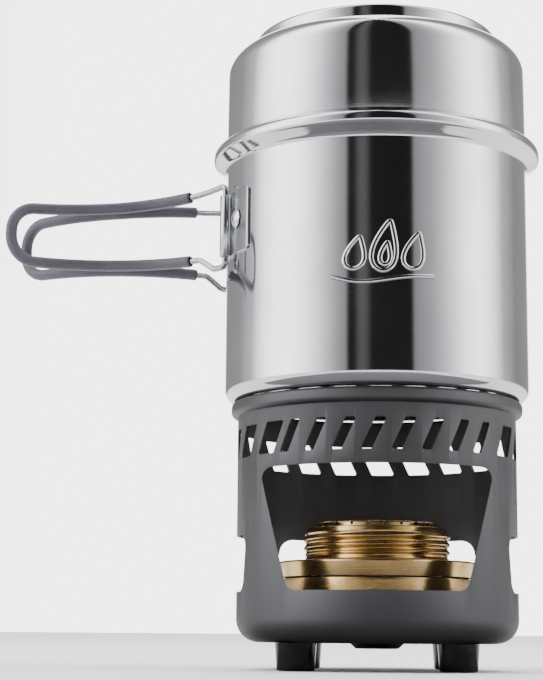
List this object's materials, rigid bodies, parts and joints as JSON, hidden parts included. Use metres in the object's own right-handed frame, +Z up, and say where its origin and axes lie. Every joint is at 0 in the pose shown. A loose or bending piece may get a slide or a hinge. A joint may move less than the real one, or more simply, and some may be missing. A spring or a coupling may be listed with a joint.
{
  "type": "alcohol spirit stove",
  "caption": "Spirit stove cook set: slotted windscreen stand on feet, brass spirit burner, steel pot with folding wire handles and a smaller pot upside-down as its lid.",
  "frame": {"origin": "on the stand's vertical axis, level with the soles of the four feet", "axes": "+Z up along the axis of the stand, burner and pots; the large front window faces -Y; the handles point along -X"},
  "size_m": [0.2049, 0.126, 0.2424],
  "materials": {
    "stand": "hard anodised, satin grey",
    "foot": "moulded, glossy black",
    "rivet": "polished heads",
    "brass": "turned and lacquered",
    "wick": "cotton",
    "pot_steel": "stainless steel, polished, spun",
    "bracket_steel": "stainless steel, satin",
    "wire_steel": "stainless steel, drawn wire",
    "sleeve": "silicone, satin grey"
  },
  "bodies": {
    "stand": {"stand_shell": "stand", "foot_front_left": "foot", "foot_front_right": "foot", "foot_rear_left": "foot", "foot_rear_right": "foot", "foot_rivet_front_left": "rivet", "foot_rivet_front_right": "rivet", "foot_rivet_rear_left": "rivet", "foot_rivet_rear_right": "rivet"},
    "burner": {"burner_cup": "brass", "burner_neck": "brass", "burner_well": "brass", "burner_wick": "wick"},
    "pot": {"pot_shell": "pot_steel", "handle_bracket": "bracket_steel", "bracket_rivet_front": "rivet", "bracket_rivet_rear": "rivet"},
    "handle_front": {"handle_wire_front": "wire_steel", "handle_sleeve_front": "sleeve"},
    "handle_rear": {"handle_wire_rear": "wire_steel", "handle_sleeve_rear": "sleeve"},
    "lid": {"lid_pot": "pot_steel"}
  },
  "joints": [
    {"name": "burner_lift", "type": "slide", "parent": "stand", "child": "burner", "axis": [0, 0, 1], "range_m": [0, 0.04]},
    {"name": "pot_lift", "type": "slide", "parent": "stand", "child": "pot", "axis": [0, 0, 1], "range_m": [0, 0.12]},
    {"name": "lid_lift", "type": "slide", "parent": "pot", "child": "lid", "axis": [0, 0, 1], "range_m": [0, 0.06]},
    {"name": "handle_front_fold", "type": "hinge", "parent": "pot", "child": "handle_front", "pos_m": [-0.0567, -0.02, 0.164], "axis": [0, 0, 1], "range_deg": [0, 148]},
    {"name": "handle_rear_fold", "type": "hinge", "parent": "pot", "child": "handle_rear", "pos_m": [-0.0567, 0.02, 0.164], "axis": [0, 0, -1], "range_deg": [0, 148]}
  ]
}
